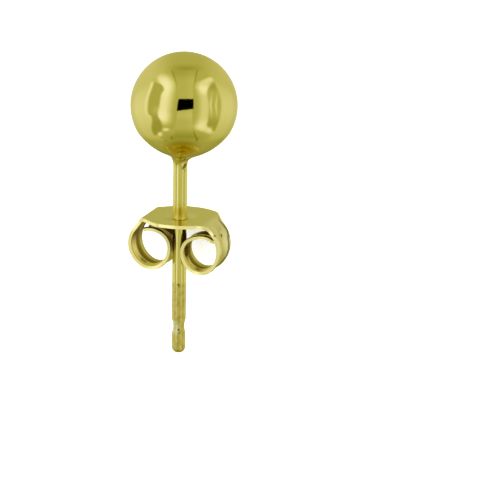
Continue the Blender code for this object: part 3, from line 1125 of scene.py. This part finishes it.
satin, shader, places = new_gold("satin_gold")
shader.inputs["Specular Tint"].default_value = GRAZING_GOLD
x, y, z = parts_of(places)
mottle = noise(places, 1.3, 3)
inner = painted("inner")
width = painted("width")
rolled = painted("turned") * MOST_TURNED
from_post = (x * x + y * y) ** 0.5
at_hole = 1 - from_post.rise(*HOLE_RIM)
edge = painted("rim").rise(*RIM_EASE) * (1 - (1 - HOLE_RIM_SHARE) * at_hole)
inside = inner * (1 - edge)
lining = inside * rolled.rise(*LINED_FROM)
hollow = width.rise(*HOLLOW_NEAR) * (1 - width.rise(*HOLLOW_FAR))
colour = between(PLATE_CLOUDS * mottle, PLATE_GOLD, GOLD)
# Painted light and shade inside the rolls: a warm tan reflection, painted shade in the hollow and by the
# near rim, and a grey-olive reflection on the far rib.
colour = between(INNER_SHARE * inside, colour, INNER_GOLD)
colour = between(lining * hollow.maths("MAXIMUM", hollow, width.hump(*NEAR_GROOVE)), colour, HOLLOW_SHADE)
colour = between(lining * width.rise(*FAR_RIB), colour, FAR_GOLD)

# %% [markdown]
# Brown painted shade lies where no cloth can reach: inside the two folds,
# round the post under the plate, and darkest in a notch of the left fold.
# The rolls' outsides are rippled in colour, and the right roll has two small
# dents with painted shadow in them and a dark wavy line along its far rib,
# a painted dark reflection.

# %% The back's painted shade and dark line
BROWN_SHADE = (0.11, 0.035, 0.006, 1)
NOTCH_BROWN = (0.13, 0.065, 0.003, 1)
DEEP_SHADE = (0.03, 0.022, 0.004, 1)
EDGE_GOLD = (1.0, 0.93, 0.42, 1)
FOLD_SHARE = 0.95
FOLD_ENDS = (60, 112)
POST_SHARE = 0.95
POST_REACH = (0.55, 1.15)
POST_STAIN_TOP = (0.20, 0.40)
POST_STAIN_END = (-2.6, -1.3)
PLATE_SHARE = 0.8
PLATE_REACH = (0.9, 1.9)
PLATE_STAIN_TOP = (-0.42, -0.20)
PLATE_STAIN_END = (-0.95, -0.50)
RIPPLE_SHARE = 0.55
RIPPLES = (0.46, 0.60)
OUTSIDE_FROM = (30, 60)
HOLE_SHARE = 0.7
HOLE_REACH = (0.44, 0.66)
HOLE_BOTTOM = (-0.3, -0.1)
EDGE_SHARE = 0.85
LINE_AND_DENT_SHARE = 0.9
DARK_LINE = (0.815, 0.080)
DARK_LINE_WAVES = 0.14
LINE_STARTS = (25, 55)
LINE_SIDE = (1.2, 1.8)
FIRST_STEP = (60, 80)
SECOND_STEP = (95, 135)
DENTS = (
    ((2.50, 0.016, -0.88), 0.13, 1.0),
    ((2.445, -0.95, -0.66), 0.11, 0.8),
)
NOTCH = ((-2.28, -0.15, -0.82), 0.68)
NOTCH_STRENGTH = 2.0

# Painted shade, brown, inside the folds and round the post under the plate.
in_fold = FOLD_SHARE * inside * (1 - rolled.rise(*FOLD_ENDS))
colour = between(in_fold, colour, BROWN_SHADE)
at_post = POST_SHARE * (1 - from_post.rise(*POST_REACH))
at_post = at_post * (0 - z).rise(*POST_STAIN_TOP) * z.rise(*POST_STAIN_END)
under_plate = PLATE_SHARE * (1 - x.size().rise(*PLATE_REACH)) * (1 - edge)
under_plate = under_plate * (1 - z.rise(*PLATE_STAIN_TOP)) * z.rise(*PLATE_STAIN_END)
colour = between(at_post.maths("MAXIMUM", at_post, under_plate), colour, BROWN_SHADE)
outside = (1 - inner) * (1 - edge) * rolled.rise(*OUTSIDE_FROM)
ripples = noise(places, 2.6, 4, (1, 1.6, 0.45)).rise(*RIPPLES)
colour = between(RIPPLE_SHARE * outside * ripples, colour, FAR_GOLD)
# Painted reflection of the post, warm yellow, round the hole.
round_hole = (1 - from_post.rise(*HOLE_REACH)) * (1 - inner) * z.rise(*HOLE_BOTTOM)
colour = between(HOLE_SHARE * round_hole, colour, REFLECTED_GOLD)
# The rims' rubbed colour is brightened into a painted highlight.
colour = between(EDGE_SHARE * edge, colour, EDGE_GOLD)
# Painted shade, darkest brown, in a notch of the left fold.
notch = NOTCH_STRENGTH * mark(places, *NOTCH) * inner
colour = between(notch, colour, NOTCH_BROWN)

# The dark line is a painted dark reflection. It lies nearer the middle of
# the strip as the roll turns under
line_place = width - 0.07 * (1 - rolled.rise(*FIRST_STEP)) + 0.12 * rolled.rise(*SECOND_STEP)
line_place = line_place + DARK_LINE_WAVES * (noise(places, 2.2, 2) - 0.5)
line = line_place.hump(*DARK_LINE) * x.rise(*LINE_SIDE) * (1 - inner) * rolled.rise(*LINE_STARTS)
# Painted shade: the dark line and the shadow in the two dents.
line_and_dent_shade = LINE_AND_DENT_SHARE * (line + marks(places, DENTS))
colour = between(line_and_dent_shade, colour, DEEP_SHADE)
feed(shader, "Base Color", colour)

# %% [markdown]
# Edges rub bright and carry a painted highlight, and finely scratched metal
# scatters some of its light, so they are made a little less metallic and look
# pale from every side. The notch's painted shade is made less metallic too.

# %% The back's polish
EDGE_SCATTER = 0.36
NOTCH_SCATTER = 0.4
FACE_ROUGHNESS = 0.15
INNER_ROUGHNESS = 0.18
EDGE_ROUGHNESS = 0.12
LINE_AND_DENT_ROUGHNESS = 0.35
SATIN_BUMPS = 0.3

tumbled = noise(places, 8.0, 3)
notch_share = notch.rise(0, 1)
feed(shader, "Metallic", 1 - EDGE_SCATTER * edge * (1 - notch_share) - NOTCH_SCATTER * notch_share)
roughness = FACE_ROUGHNESS + 0.08 * mottle
roughness = roughness.toward(INNER_ROUGHNESS + 0.08 * tumbled, inside)
feed(shader, "Roughness", roughness.toward(EDGE_ROUGHNESS, edge) + LINE_AND_DENT_ROUGHNESS * line_and_dent_shade)
raise_surface(shader, 0.6 * tumbled + 0.8 * mottle, SATIN_BUMPS)
back.data.materials.append(satin)
print("Satin gold has", len(satin.node_tree.nodes), "nodes")

# %% [markdown]
# Each piece now takes its CAD solid's place and rides on its body, so the
# back slides along the post in the poses too.

# %% Onto the frame
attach(stud, "stud")
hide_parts("ball_stud")
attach(back, "back")
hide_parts("butterfly_back")
